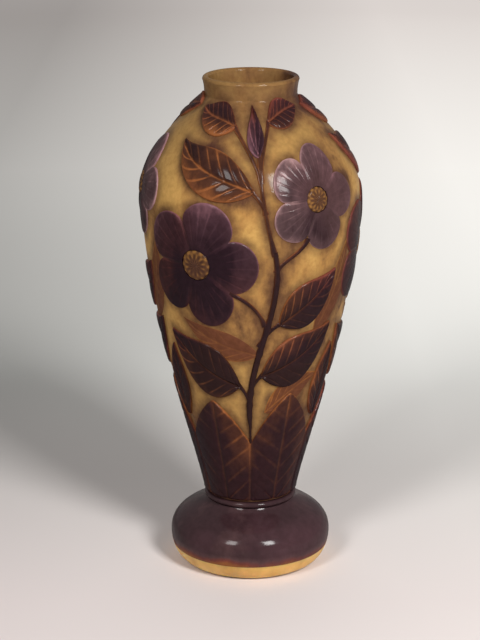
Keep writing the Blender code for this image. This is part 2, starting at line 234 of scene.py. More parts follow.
class GlassColours(PropertyGroup):
    """Colours of the glass."""

    honey: colour("Honey", "Brightest clouds in the amber ground", (0.500, 0.294, 0.088))
    amber: colour("Amber", "Amber ground", (0.368, 0.194, 0.059))
    umber: colour("Umber", "Darkest clouds in the amber ground", (0.078, 0.034, 0.021))
    stain: colour("Stain", "Ground beside the overlay", (0.055, 0.020, 0.015))
    # Painted glow: the rim is coloured brighter than the amber ground, standing partly for light
    # shining through it.
    rim: colour("Rim", "Bare rim of the foot, lit through", (0.73, 0.415, 0.13))
    plum: colour("Plum", "Thick plum overlay", (0.017, 0.007, 0.011))
    aubergine: colour("Aubergine", "Overlay on the foot", (0.075, 0.038, 0.039))
    mauve: colour("Mauve", "Thinned plum overlay", (0.185, 0.085, 0.103))
    lilac: colour("Lilac", "Thinnest plum overlay, high on the body", (0.345, 0.205, 0.205))
    wine: colour("Wine", "Thinned burgundy overlay", (0.150, 0.040, 0.028))
    garnet: colour("Garnet", "Thick overlay of the calyx", (0.025, 0.009, 0.011))
    rust: colour("Rust", "Thinnest russet overlay", (0.290, 0.110, 0.028))
    russet: colour("Russet", "Thinned russet overlay", (0.230, 0.080, 0.026))
    russet_thick: colour("Thick russet", "Russet of the leaves underneath", (0.120, 0.043, 0.021))
    bark: colour("Bark", "Thick russet overlay", (0.022, 0.009, 0.009))
    ochre: colour("Ochre", "Eyes of the blossoms", (0.22, 0.105, 0.030))


class StageSettings(PropertyGroup):
    """Camera, lights and table."""

    lens: number("Lens", "Focal length in millimetres", 112.5)
    distance: length("Distance", "From the camera to its aim", 1.031)
    pitch: rotation("Pitch", "How far the camera looks down", radians(17))
    aim: position("Aim", "Point that the camera and the lamps look at", (-0.0054, 0.0, 0.1296))
    lamp_turn: rotation("Lamp turn", "Side lamps, round from the camera", radians(30.5))
    lamp_reach: length("Lamp reach", "Side lamps from the vase's axis", 1.09)
    lamp_height: length("Lamp height", "Side lamps above the table", 0.90)
    back_place: position("Back lamp place", "Low and far behind the vase", (0.0, 3.0, 0.60))
    paper_place: position("Paper lamp place", "Beside the vase", (0.80, 0.36, 0.60))
    paper_target: position("Paper lamp target", "Where it looks, past the vase", (0.75, 1.20, 0.33))
    key_power: watts("Right lamp", "Power of the lamp on the right", 17.8)
    fill_power: watts("Left lamp", "Power of the lamp on the left", 8.5)
    back_power: watts("Back lamp", "Power of the wide lamp behind the vase", 62.0)
    paper_power: watts("Paper lamp", "Power of the lamp on the paper behind", 10.5)
    sky: number("Sky", "Even light from all round", 0.03)
    # Painted light: the paper is coloured darker on the left and lightest just right of the vase,
    # more strongly behind it, standing for light that falls more on the right.
    table_left: colour("Table left", "Paper in front of the vase, left", (0.662, 0.595, 0.589))
    table_right: colour("Table right", "Paper in front of the vase, right", (0.79, 0.725, 0.71))
    paper_left: colour("Paper left", "Paper behind the vase, left", (0.462, 0.464, 0.450))
    paper_right: colour("Paper right", "Paper behind the vase, right", (0.90, 0.90, 0.875))
    # Painted light: the far table glows, seen only directly and in gloss, darker on the left and
    # brighter on the right.
    distance_left: colour("Distance left", "Far behind the vase, left", (0.435, 0.424, 0.404))
    distance_right: colour("Distance right", "Far behind the vase, right", (0.955, 0.930, 0.885))
    horizon: colour("Horizon", "What is seen past the table", (0.55, 0.53, 0.52))


def upright_curve(low, high, low_roll, high_roll, count):
    """Outline points (radius, height) of a curve that leaves low and meets high upright."""
    knots = (low, (low[0], low[1] + low_roll), (high[0], high[1] - high_roll), high)
    knots = [Vector((radius, height, 0.0)) for radius, height in knots]
    return [(point.x, point.y) for point in interpolate_bezier(*knots, count)]


def arc(centre, radii, start, end, count):
    """Points (radius, height) on a round or oval arc between two angles."""
    points = []
    for step in range(count + 1):
        turn = start + (end - start) * step / count
        out, up = cos(turn), sin(turn)
        points.append((centre[0] + radii[0] * out, centre[1] + radii[1] * up))
    return points


def body_outline(sizes, count):
    """The body's outer outline, from the waist up to the lip's round."""
    waist = (sizes.waist_diameter / 2, sizes.waist_height)
    belly = (sizes.belly_diameter / 2, sizes.belly_height)
    neck = (sizes.neck_diameter / 2, sizes.neck_height)
    lip = (sizes.lip_diameter / 2, sizes.lip_height - sizes.lip_wall / 2)
    flank = upright_curve(waist, belly, sizes.waist_roll_above, sizes.belly_roll_below, count)
    shoulder = upright_curve(belly, neck, sizes.belly_roll_above, sizes.neck_roll, count)
    collar = upright_curve(neck, lip, sizes.collar_roll, 0.0, count // 4)
    return flank + shoulder[1:] + collar[1:]


def foot_outline(sizes, count):
    """The foot's outer outline: round from standing ring to widest place, then up to the waist."""
    base, rise = sizes.base_diameter / 2, sizes.foot_bulge_rise
    overhang = (sizes.foot_diameter - sizes.base_diameter) / 2
    bulge = arc((base, rise), (overhang, rise), -pi / 2, 0.0, count // 2)
    waist = (sizes.waist_diameter / 2, sizes.waist_height)
    top = upright_curve(bulge[-1], waist, sizes.foot_roll, sizes.waist_roll_below, count)
    return bulge + top[1:]


def radius_at(outline, height):
    """The radius of an upward outline, given as its radii and its heights, at a height."""
    radii, heights = outline
    upper = min(max(bisect(heights, height), 1), len(heights) - 1)
    low, high = heights[upper - 1], heights[upper]
    share = min(max((height - low) / (high - low), 0.0), 1.0)
    return radii[upper - 1] + share * (radii[upper] - radii[upper - 1])


def between(outline, low, high):
    """The points of an upward outline between two heights, with cut points at both."""
    inside = [point for point in outline if low < point[1] < high]
    sides = list(zip(*outline))
    cuts = [(radius_at(sides, height), height) for height in (low, high)]
    return sorted(inside + cuts, key=lambda point: point[1])


def inset_outline(outline, distance):
    """The outline moved square to itself, inwards."""
    moved = []
    for index, (radius, height) in enumerate(outline):
        before = outline[max(index - 1, 0)]
        after = outline[min(index + 1, len(outline) - 1)]
        run = Vector((after[0] - before[0], after[1] - before[1])).normalized()
        moved.append((radius - run.y * distance, height + run.x * distance))
    return moved


class BodySurface:
    """The casing's outer surface, which carries the overlay's flat sheet."""

    def __init__(self, sizes):
        self.sizes = sizes
        self.outline = list(zip(*body_outline(sizes, SURFACE_POINTS)))
        self.girth = pi * sizes.belly_diameter
        self.seat = sizes.seat_height
        self.rise = sizes.lip_height - sizes.seat_height

    def radius(self, height):
        """The body's outer radius at a height."""
        return radius_at(self.outline, height)

    def sheet(self, place, turn=0.0):
        """A place in shares, as metres on the flat sheet."""
        return Vector(((place[0] + turn) * self.girth, place[1] * self.rise))

    def wrapped(self, point, lift):
        """The place on the body for a point of the flat sheet, lifted along the outward normal."""
        turn = 2 * pi * point.x / self.girth
        height = self.seat + point.y
        reach = 0.002
        slope = (self.radius(height + reach) - self.radius(height - reach)) / (2 * reach)
        out = Vector((sin(turn), -cos(turn), 0.0))
        normal = (out - Vector((0.0, 0.0, slope))).normalized()
        return out * self.radius(height) + Vector((0.0, 0.0, height)) + normal * lift

    def border(self, distance):
        """Relief of the overlay's rounded border at a distance from its edge, up to 1 inside."""
        share = min(max(distance / self.sizes.edge_roll, 0.0), 1.0)
        return BORDER_RELIEF + (1 - BORDER_RELIEF) * sqrt(1 - (1 - share) ** 2)


def placed(name, data):
    """An object in the scene."""
    item = bpy.data.objects.new(name, data)
    bpy.context.scene.collection.objects.link(item)
    return item


def finish_piece(name, bm, material, node, crease=TURNED_CREASE):
    """Makes a piece of the vase from its bmesh, in place of the node it stands for, if any."""
    mesh = bpy.data.meshes.new(name)
    bmesh.ops.recalc_face_normals(bm, faces=bm.faces)
    bm.to_mesh(mesh)
    bm.free()
    mesh.shade_smooth()
    mesh.set_sharp_from_angle(angle=radians(crease))
    mesh.materials.append(material)
    piece = placed(name, mesh)
    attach(piece, "root")
    if node:
        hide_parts(node)


def spun(outline, closed, steps):
    """A turned shape from an outline of (radius, height) points, open at the axis or closed."""
    bm = bmesh.new()
    corners = [bm.verts.new((radius, 0.0, height)) for radius, height in outline]
    ends = corners[1:] + corners[:1] if closed else corners[1:]
    for start, end in zip(corners, ends):
        bm.edges.new((start, end))
    around = {"cent": (0.0, 0.0, 0.0), "axis": (0.0, 0.0, 1.0), "angle": 2 * pi}
    bmesh.ops.spin(bm, geom=bm.verts[:] + bm.edges[:], **around, steps=steps, use_merge=True)
    bmesh.ops.remove_doubles(bm, verts=bm.verts, dist=0.000002)
    return bm


def carve(bm, surface, grid, shape):
    """Adds an island of overlay to a bmesh, with its underside fused into the casing.

    shape maps (along, across), 0 to 1 and -1 to 1, to a point of the flat sheet, a relief from
    0 to 1 and a tone from 0, thin glass, to 1, thick glass. The tone is kept for the glass to read.
    """
    layers = bm.verts.layers.float
    along_layer = layers.get("along") or layers.new("along")
    across_layer = layers.get("across") or layers.new("across")
    tone_layer = layers.get("tone") or layers.new("tone")
    columns, rows = grid
    sheet = bmesh.ops.create_grid(bm, x_segments=columns, y_segments=rows, size=0.5)["verts"]
    for vert in sheet:
        vert[along_layer] = vert.co.x + 0.5
        vert[across_layer] = sin(vert.co.y * pi)
        point, _, vert[tone_layer] = shape(vert[along_layer], vert[across_layer])
        vert.co = surface.wrapped(point, -surface.sizes.sink)
    bmesh.ops.remove_doubles(bm, verts=sheet, dist=0.000005)
    faces = {face for vert in sheet if vert.is_valid for face in vert.link_faces}
    grown = bmesh.ops.extrude_face_region(bm, geom=list(faces), use_keep_orig=True)
    for vert in grown["geom"]:
        if isinstance(vert, bmesh.types.BMVert):
            point, relief, _ = shape(vert[along_layer], vert[across_layer])
            vert.co = surface.wrapped(point, surface.sizes.relief * relief)


def lay(name, surface, islands, material, node):
    """Makes a piece of overlay from its islands, each of them a grid and the shape it takes."""
    bm = bmesh.new()
    for grid, shape in islands:
        carve(bm, surface, grid, shape)
    finish_piece(name, bm, material, node, CARVED_CREASE)


def groove(distance, width):
    """Depth share of a cut groove at a distance from its middle."""
    return exp(-((distance / width) ** 2))


def ridge(phase, sharpness):
    """Narrow ridges, one for each whole phase."""
    return max(0.0, cos(2 * pi * phase)) ** sharpness


def midrib(surface, blade, turn):
    """The bowed middle line of a stem, stalk, leaf or bud: place, sideways direction and length."""
    start, end = surface.sheet(blade.root, turn), surface.sheet(blade.tip, turn)
    run = end - start
    side = Vector((-run.y, run.x))
    low_bow, high_bow = blade.bows
    knots = (start, start + run / 3 + side * low_bow, start + run * 2 / 3 + side * high_bow, end)

    def at(along):
        rest = 1 - along
        shares = (rest**3, 3 * rest**2 * along, 3 * rest * along**2, along**3)
        point = sum((knot * share for knot, share in zip(knots, shares)), Vector((0.0, 0.0)))
        pulls = (rest**2, 2 * rest * along, along**2)
        strides = [after - before for before, after in zip(knots, knots[1:])]
        heading = sum((stride * pull for stride, pull in zip(strides, pulls)), Vector((0.0, 0.0)))
        heading.normalize()
        return point, Vector((-heading.y, heading.x)), run.length

    return at


def leaf_shape(surface, leaf, turn, veins, body=1.0):
    """A pointed leaf with a cut midrib and side veins. One half is cut thinner than the other."""
    at = midrib(surface, leaf, turn)

    def shape(along, across):
        point, square, size = at(along)
        reach = leaf.width / 2 * size * max(0.0, sin(pi * along**0.8))
        off = abs(across)
        border = surface.border((1 - off) * reach)
        crown = 0.78 + 0.22 * sin(pi * off)
        vein = ridge(along * veins - off * 1.6, VEIN_SHARPNESS)
        vein = vein * min(1.0, 5 * off) * min(1.0, 4 * (1 - off))
        rib = groove(off * reach, LEAF_CUT) * min(1.0, 6 * (1 - along))
        thinned = 0.50 * max(0.0, across) ** 0.7 + 0.18 * off**3
        relief = border * (crown - 0.22 * vein - 0.42 * rib)
        tone = border - thinned - 0.60 * vein - 0.72 * rib
        return point + square * across * reach, relief * body, tone

    return shape


def stem_shape(surface, turn):
    """A round stem that thins towards its tip, with swellings where stalks spring from it."""
    at = midrib(surface, STEM, turn)

    def shape(along, across):
        point, square, _ = at(along)
        swelling = sum(groove(along - joint, 0.016) for joint in STEM_JOINTS)
        reach = surface.sizes.stem_width / 2 * (1.2 - 0.5 * along)
        reach = reach * (1 + 0.22 * swelling) * min(1.0, 0.4 + 8 * along)
        round_back = sqrt(max(0.0, 1 - across**2))
        return point + square * across * reach, 0.3 + 0.65 * round_back, 0.2 + 0.8 * round_back

    return shape


def stalk_shape(surface, stalk, turn):
    """A thin stalk that swells at both of its ends."""
    at = midrib(surface, stalk, turn)

    def shape(along, across):
        point, square, _ = at(along)
        swelling = 0.7 * groove(along, 0.12) + 0.5 * groove(1 - along, 0.15)
        reach = surface.sizes.stalk_width / 2 * (1 + swelling)
        round_back = sqrt(max(0.0, 1 - across**2))
        return point + square * across * reach, 0.2 + 0.4 * round_back, 0.1 + 0.75 * round_back

    return shape


def blossom_shape(surface, blossom, turn):
    """An open blossom: petals that lap over each other, dark at the throat and thin at the rim."""
    centre = surface.sheet(blossom.centre, turn)
    outer = blossom.radius * surface.rise
    inner = outer * EYE_SHARE

    def shape(along, across):
        angle = blossom.lean - 2 * pi * along
        petal = abs(cos(PETALS * angle / 2)) ** 0.6
        phase = (PETALS * angle / (2 * pi) + 0.5) % 1.0
        edge = outer * (1 - NOTCH_SHARE * (1 - petal))
        share = (across + 1) / 2
        reach = inner + share * (edge - inner)
        border = surface.border((1 - share) * (edge - inner))
        lap = 0.62 + 0.38 * phase - 0.38 * max(0.0, (phase - 0.93) / 0.07)
        cup = 0.60 + 0.40 * sin(pi * min(1.0, 0.15 + share * 0.80))
        ray = ridge(6 * (phase - 0.5) * (1.15 - 0.15 * share), 6) * sin(pi * share)
        relief = border * (lap * cup - 0.10 * ray)
        tone = border * (0.50 + 0.60 * lap) - 0.44 * share**1.8 - 0.18 * ray
        around = Vector((cos(angle), sin(angle)))
        return centre + around * reach, relief, tone

    return shape


def eye_shape(surface, blossom, turn):
    """The domed boss in the middle of a blossom, cut with rings of small beads."""
    centre = surface.sheet(blossom.centre, turn)
    outer = blossom.radius * surface.rise * EYE_SHARE - surface.sizes.sink

    def shape(along, across):
        angle = -2 * pi * along
        share = (across + 1) / 2
        bead = cos(12 * angle) * sin(2.5 * pi * share)
        border = surface.border((1 - share) * outer)
        relief = border * (1.02 - 0.30 * share**2) + 0.06 * bead
        tone = 0.30 + 0.75 * (1 - share) - 0.40 * bead
        return centre + Vector((cos(angle), sin(angle))) * outer * share, relief, tone

    return shape


def sheath_shape(surface):
    """Overlay left whole above the waist: a calyx of broad leaves that part into pointed tips."""

    def shape(along, across):
        cell = along * SHEATH_TIPS
        side = 2 * (cell % 1.0) - 1
        off = abs(side)
        peak = SHEATH_PEAKS[int(cell) % len(SHEATH_PEAKS)]
        top = SHEATH_VALLEY + (peak - SHEATH_VALLEY) * (1 - off**1.3)
        share = (across + 1) / 2
        rise = SHEATH_EDGE + share * (top - SHEATH_EDGE)
        point = surface.sheet((along, rise))
        width = surface.radius(surface.seat + point.y) * pi / SHEATH_TIPS
        border = surface.border(min(1 - share, share) * (top - SHEATH_EDGE) * surface.rise)
        lap = groove((1 - off) * width, SHEATH_CUT)
        rib = groove(off * width, SHEATH_CUT)
        vein = ridge(rise * 22 - off * 1.5, VEIN_SHARPNESS)
        vein = vein * min(1.0, 6 * off) * min(1.0, 5 * (1 - off))
        crown = 0.82 + 0.18 * sin(pi * off)
        thinned = 0.30 * max(0.0, side) ** 0.7 + 0.35 * share**2
        relief = border * (crown - 0.40 * lap - 0.35 * rib - 0.16 * vein)
        tone = border - thinned - 0.40 * lap - 0.45 * rib - 0.36 * vein
        return point, relief, tone

    return shape


class Nodes:
    """The node tree of a material or world, built a node at a time."""

    def __init__(self, name, kind="materials"):
        self.owner = getattr(bpy.data, kind).new(name)
        self.owner.use_nodes = True
        self.tree = self.owner.node_tree
        self.coordinates = self.add("TexCoord").outputs["Object"]

    def give(self, node, inputs):
        """Sets a node's inputs to values, or links them to sockets."""
        for key, value in inputs.items():
            if isinstance(value, bpy.types.NodeSocket):
                self.tree.links.new(value, node.inputs[key])
            else:
                node.inputs[key].default_value = value

    def add(self, kind, inputs=None, **settings):
        """A shader node of a kind, with its settings and inputs."""
        node = self.tree.nodes.new("ShaderNode" + kind)
        for key, value in settings.items():
            setattr(node, key, value)
        self.give(node, inputs or {})
        return node

    def seen(self):
        """1 for what is seen directly or in glass and gloss, and 0 for light that spreads."""
        rays = self.add("LightPath").outputs
        seen = self.math("MAXIMUM", rays["Is Camera Ray"], rays["Is Glossy Ray"])
        return self.math("MAXIMUM", seen, rays["Is Transmission Ray"])

    def show(self, output, share, first, second):
        """Mixes two shaders and links them to an output node."""
        inputs = {0: share, 1: first.outputs[0], 2: second.outputs[0]}
        both = self.add("MixShader", inputs)
        self.give(self.tree.nodes[output], {"Surface": both.outputs[0]})

    def attribute(self, name):
        """A value kept on the mesh."""
        return self.add("Attribute", attribute_name=name).outputs["Fac"]

    def axis(self, letter):
        """A coordinate along one axis."""
        return self.add("SeparateXYZ", {"Vector": self.coordinates}).outputs[letter]

    def noise(self, scale, detail, roughness, stretch=(1.0, 1.0, 1.0)):
        """Cloudy values from 0 to 1."""
        mapped = self.add("Mapping", {"Vector": self.coordinates, "Scale": stretch})
        inputs = {"Scale": scale, "Detail": detail, "Roughness": roughness}
        inputs["Vector"] = mapped.outputs["Vector"]
        return self.add("TexNoise", inputs).outputs["Fac"]

    def math(self, operation, first, second):
        """Two values joined."""
        return self.add("Math", {0: first, 1: second}, operation=operation).outputs[0]

    def ramp(self, value, *stops):
        """Colours at stops along a value."""
        node = self.add("ValToRGB", {"Fac": value})
        while len(node.color_ramp.elements) < len(stops):
            node.color_ramp.elements.new(0.5)
        for element, (place, tint) in zip(node.color_ramp.elements, stops):
            element.position = place
            element.color = (*tint, 1.0)
        return node.outputs["Color"]

    def spread(self, value, low, high, to_low=0.0, to_high=1.0):
        """A value moved from one range to another, and kept within it."""
        inputs = {"Value": value, "From Min": low, "From Max": high}
        inputs |= {"To Min": to_low, "To Max": to_high}
        return self.add("MapRange", inputs).outputs["Result"]

    def mix(self, factor, first, second, blend="MIX"):
        """Two colours mixed."""
        inputs = {0: factor, 6: first, 7: second}
        return self.add("Mix", inputs, data_type="RGBA", blend_type=blend).outputs[2]

    def bump(self, value, strength, distance, **under):
        """A surface normal from a height value, over another one if there is one."""
        inputs = {"Height": value, "Strength": strength, "Distance": distance, **under}
        return self.add("Bump", inputs).outputs["Normal"]

    def speckled(self, tint, scale, share):
        """A colour with fine dark specks, as powdered glass has."""
        specks = self.ramp(self.noise(scale, 3.0, 0.6), (0.30, SPECK), (0.62, WHITE))
        return self.mix(share, tint, specks, "MULTIPLY")

    def skin(self, waves, strength):
        """A surface normal with slow waves and a fine etched grain."""
        ripple = self.bump(self.noise(waves, 2.0, 0.5), strength, 0.0010)
        return self.bump(self.noise(1300.0, 3.0, 0.6), 0.10, 0.0002, Normal=ripple)

    def satin(self, scale, low, high):
        """A roughness that drifts between two values."""
        return self.spread(self.noise(scale, 4.0, 0.6), 0.3, 0.7, low, high)

    def glass(self, tint, roughness, normal, coat, lit_through=0.0):
        """The finished glass. Light may spread a little way inside it, red the furthest."""
        inputs = {"Base Color": tint, "Roughness": roughness, "Normal": normal, "IOR": 1.5}
        inputs |= {"Specular IOR Level": 0.0, "Coat Weight": coat, "Coat Roughness": 0.13}
        if lit_through:
            inputs |= {"Subsurface Weight": lit_through, "Subsurface Scale": 0.008}
            inputs["Subsurface Radius"] = (1.0, 0.5, 0.2)
        self.give(self.tree.nodes["Principled BSDF"], inputs)
        return self.owner


def blended(first, second, share):
    """A colour between two others, by the second one's share."""
    return tuple((1 - share) * one + share * other for one, other in zip(first, second))


def amber_glass(colours):
    """Amber ground in tall clouds, stained beside the overlay, darker at waist and collar."""
    nodes = Nodes("amber_ground")
    clouds = nodes.noise(36.0, 6.0, 0.58, (1.0, 1.0, 0.5))
    tint = nodes.ramp(clouds, (0.34, colours.umber), (0.45, colours.amber), (0.56, colours.honey))
    height = nodes.axis("Z")
    shade = (*colours.umber, 1.0)
    tint = nodes.mix(nodes.spread(height, *WAIST_SHADE, 0.85, 0.0), tint, shade)
    tint = nodes.mix(nodes.spread(height, *COLLAR_SHADE, 0.0, 0.64), tint, shade)
    patchy = nodes.spread(nodes.noise(70.0, 4.0, 0.6), 0.35, 0.65, 0.42, 0.86)
    stain = nodes.math("MULTIPLY", nodes.attribute("stain"), patchy)
    tint = nodes.mix(stain, tint, (*colours.stain, 1.0))
    tint = nodes.speckled(tint, 420.0, 0.40)
    return nodes.glass(tint, nodes.satin(70.0, 0.24, 0.42), nodes.skin(55.0, 0.3), GROUND_COAT)


def rim_glass(colours):
    """Bare rim of the foot: polished amber, scuffed where it stands, with light spreading a little
    inside it. Its colour is painted brighter than the amber ground as a painted glow of light
    shining through it.
    """
    nodes = Nodes("rim_honey")
    clouds = nodes.noise(60.0, 4.0, 0.6, (1.0, 1.0, 0.5))
    tint = nodes.ramp(clouds, (0.35, blended(BLACK, colours.rim, 0.72)), (0.60, colours.rim))
    ring = nodes.spread(nodes.axis("Z"), *RING_SCUFFS, 1.0, 0.0)
    scratches = nodes.spread(nodes.noise(500.0, 4.0, 0.7), 0.45, 0.62, 0.0, 0.7)
    scuffed = (*blended(colours.rim, (0.8, 0.8, 0.8), 0.5), 1.0)
    tint = nodes.mix(nodes.math("MULTIPLY", ring, scratches), tint, scuffed)
    dulled = nodes.math("MULTIPLY", ring, 0.4)
    roughness = nodes.math("ADD", nodes.satin(90.0, 0.16, 0.30), dulled)
    return nodes.glass(tint, roughness, nodes.skin(60.0, 0.2), RIM_COAT, lit_through=0.85)


def overlay_glass(name, hues, coat=OVERLAY_COAT):
    """Carved overlay: lighter where cut thin and up the body. Its hue drifts between two pairs."""
    nodes = Nodes(name)
    clouds = nodes.noise(60.0, 5.0, 0.6, (1.0, 1.0, 0.6))
    clouds = nodes.spread(clouds, 0.3, 0.7, -0.34, 0.34)
    depth = nodes.math("ADD", nodes.attribute("tone"), clouds)
    thinning = nodes.spread(nodes.axis("Z"), *OVERLAY_THINS, 0.13, -0.26)
    depth = nodes.math("ADD", depth, thinning)
    tints = []
    for thin, thick in hues:
        middle = blended(thin, thick, 0.78)
        tints.append(nodes.ramp(depth, (0.0, thin), (0.42, middle), (0.90, thick)))
    drift = nodes.spread(nodes.noise(13.0, 2.0, 0.5), 0.42, 0.58)
    tint = nodes.speckled(nodes.mix(drift, *tints), 300.0, 0.5)
    return nodes.glass(tint, nodes.satin(90.0, 0.20, 0.36), nodes.skin(120.0, 0.2), coat)


def foot_glass(colours):
    """Uncut overlay on the foot: plum with burgundy clouds, ground thin at its lower edge."""
    made = bpy.data.materials.get("foot_plum")
    if made:
        return made
    nodes = Nodes("foot_plum")
    clouds = nodes.noise(48.0, 5.0, 0.6, (1.0, 1.0, 0.6))
    edge = nodes.spread(nodes.axis("Z"), OVERLAY_LOW.z, OVERLAY_LOW.z + FOOT_EDGE)
    depth = nodes.math("ADD", edge, nodes.spread(clouds, 0.3, 0.7, -0.30, 0.30))
    thin = ((0.0, colours.russet), (0.28, colours.wine))
    thick = ((0.62, colours.aubergine), (1.0, blended(colours.aubergine, colours.plum, 0.65)))
    tint = nodes.ramp(depth, *thin, *thick)
    bloom = nodes.spread(nodes.noise(24.0, 3.0, 0.5), 0.45, 0.68, 0.0, 0.55)
    haze = (*blended(BLACK, colours.mauve, 0.45), 1.0)
    tint = nodes.speckled(nodes.mix(bloom, tint, haze), 300.0, 0.4)
    return nodes.glass(tint, nodes.satin(80.0, 0.20, 0.36), nodes.skin(70.0, 0.2), FOOT_COAT)


def petal_glass(colours):
    """Plum glass of the buds and the large blossoms."""
    hues = ((colours.mauve, colours.plum), (colours.wine, colours.plum))
    return bpy.data.materials.get("petal_plum") or overlay_glass("petal_plum", hues)


class VASE_OT_blow_casing(Operator):
    """Blows the amber vessel with its cavity, collar and round lip"""

    bl_idname = "vase.blow_casing"
    bl_label = "Blow casing"

    def execute(self, context):
        sizes, colours = context.scene.vase_sizes, context.scene.vase_colours
        outline = body_outline(sizes, CASING_POINTS)
        seat, bend, roll = sizes.seat_height, sizes.seat_round, sizes.lip_wall / 2
        rim = sizes.lip_height - roll
        outer = between(outline, seat + bend, rim)
        lip = arc((sizes.lip_diameter / 2 - roll, rim), (roll, roll), pi, 0.0, 12)[:-1]
        floor = seat + sizes.floor
        flank = between(outline, floor + sizes.cavity_round, sizes.neck_height)
        inner = inset_outline(flank, sizes.wall)
        reach, height = inner[0]
        bowl = arc((0.0, height), (reach, height - floor), -pi / 2, 0.0, 16)[:-1]
        edge = arc((outer[0][0] - bend, seat + bend), (bend, bend), 0.0, -pi / 2, 4)[1:]
        bm = spun(bowl + inner + lip + outer[::-1] + edge + [(0.0, seat)], False, sizes.steps)
        finish_piece("vessel", bm, amber_glass(colours), "body_casing")
        return {"FINISHED"}


class VASE_OT_join_wafer(Operator):
    """Presses the wafer of glass that joins vessel and foot"""

    bl_idname = "vase.join_wafer"
    bl_label = "Join wafer"

    def execute(self, context):
        sizes, colours = context.scene.vase_sizes, context.scene.vase_colours
        low, high = WAFER_LOW.z, WAFER_HIGH.z
        swell = (high - low) / 2
        middle = (WAFER_HIGH.x - swell, low + swell)
        edge = arc(middle, (swell, swell), pi / 2, -pi / 2, 16)
        bm = spun([(0.0, high)] + edge + [(0.0, low)], False, sizes.steps)
        finish_piece("wafer", bm, foot_glass(colours), "joining_wafer")
        return {"FINISHED"}


class VASE_OT_turn_foot(Operator):
    """Turns the amber core of the cushion foot and the plum overlay on it"""

    bl_idname = "vase.turn_foot"
    bl_label = "Turn foot"

    def execute(self, context):
        sizes, colours = context.scene.vase_sizes, context.scene.vase_colours
        outline = foot_outline(sizes, FOOT_POINTS)
        low, top = OVERLAY_LOW.z, OVERLAY_HIGH.z
        skin = between(outline, low, top)
        lining = between(inset_outline(skin, sizes.foot_cover), low, top)
        bm = spun(skin[::-1] + lining, True, sizes.steps)
        finish_piece("foot_cover", bm, foot_glass(colours), "foot_overlay")

        seat = between(inset_outline(skin, sizes.foot_cover + sizes.seam), low, top)
        rim = between(outline, 0.0, low - sizes.seam)
        ring = sizes.base_diameter / 2 - sizes.ring_width
        dish = arc((0.0, 0.0), (ring, sizes.pontil_depth), 0.0, pi / 2, 16)[:-1]
        core = [(0.0, top)] + seat[::-1] + rim[::-1] + dish + [(0.0, sizes.pontil_depth)]
        bm = spun(core, False, sizes.steps)
        finish_piece("foot_heart", bm, rim_glass(colours), "foot_core")
        return {"FINISHED"}


class VASE_OT_lay_sheath(Operator):
    """Lays the plum calyx round the lower body"""

    bl_idname = "vase.lay_sheath"
    bl_label = "Lay sheath"

    def execute(self, context):
        surface, colours = BodySurface(context.scene.vase_sizes), context.scene.vase_colours
        hues = ((colours.russet, colours.garnet), (colours.wine, colours.plum))
        plum = overlay_glass("calyx_plum", hues)
        islands = [(SHEATH_GRID, sheath_shape(surface))]
        lay("calyx", surface, islands, plum, "base_sheath")
        return {"FINISHED"}


class VASE_OT_lay_stems(Operator):
    """Lays the stem of each spray, with its stalks"""

    bl_idname = "vase.lay_stems"
    bl_label = "Lay stems"

    def execute(self, context):
        surface, colours = BodySurface(context.scene.vase_sizes), context.scene.vase_colours
        hues = ((colours.russet, colours.bark), (colours.wine, colours.plum))
        bark = overlay_glass("stem_bark", hues)
        for spray, turn in SPRAYS.items():
            islands = [(STEM_GRID, stem_shape(surface, turn))]
            islands += [(STALK_GRID, stalk_shape(surface, stalk, turn)) for stalk in STALKS]
            lay(f"stem_{spray}", surface, islands, bark, f"spray{spray}_stem")
        return {"FINISHED"}


class VASE_OT_lay_leaves(Operator):
    """Lays the leaves, the thin leaves under them and the bud of each spray"""

    bl_idname = "vase.lay_leaves"
    bl_label = "Lay leaves"

    def execute(self, context):
        surface, colours = BodySurface(context.scene.vase_sizes), context.scene.vase_colours
        hues = ((colours.russet, colours.bark), (colours.wine, colours.plum))
        russet = overlay_glass("leaf_russet_glass", hues)
        hues = ((colours.rust, colours.russet_thick), (colours.ochre, colours.russet_thick))
        pale = overlay_glass("under_leaf_glass", hues, UNDER_COAT)
        plum = petal_glass(colours)
        for spray, turn in SPRAYS.items():
            for name, leaf in LEAVES.items():
                islands = [(LEAF_GRID, leaf_shape(surface, leaf, turn, LEAF_VEINS))]
                node = f"spray{spray}_{name}"
                lay(f"{name}_{spray}", surface, islands, russet, node)
            islands = []
            for leaf in UNDER_LEAVES:
                shape = leaf_shape(surface, leaf, turn, UNDER_VEINS, UNDER_RELIEF)
                islands.append((UNDER_GRID, shape))
            lay(f"under_leaves_{spray}", surface, islands, pale, None)
            islands = [(BUD_GRID, leaf_shape(surface, BUD, turn, BUD_VEINS))]
            lay(f"bud_{spray}", surface, islands, plum, f"spray{spray}_bud")
        return {"FINISHED"}


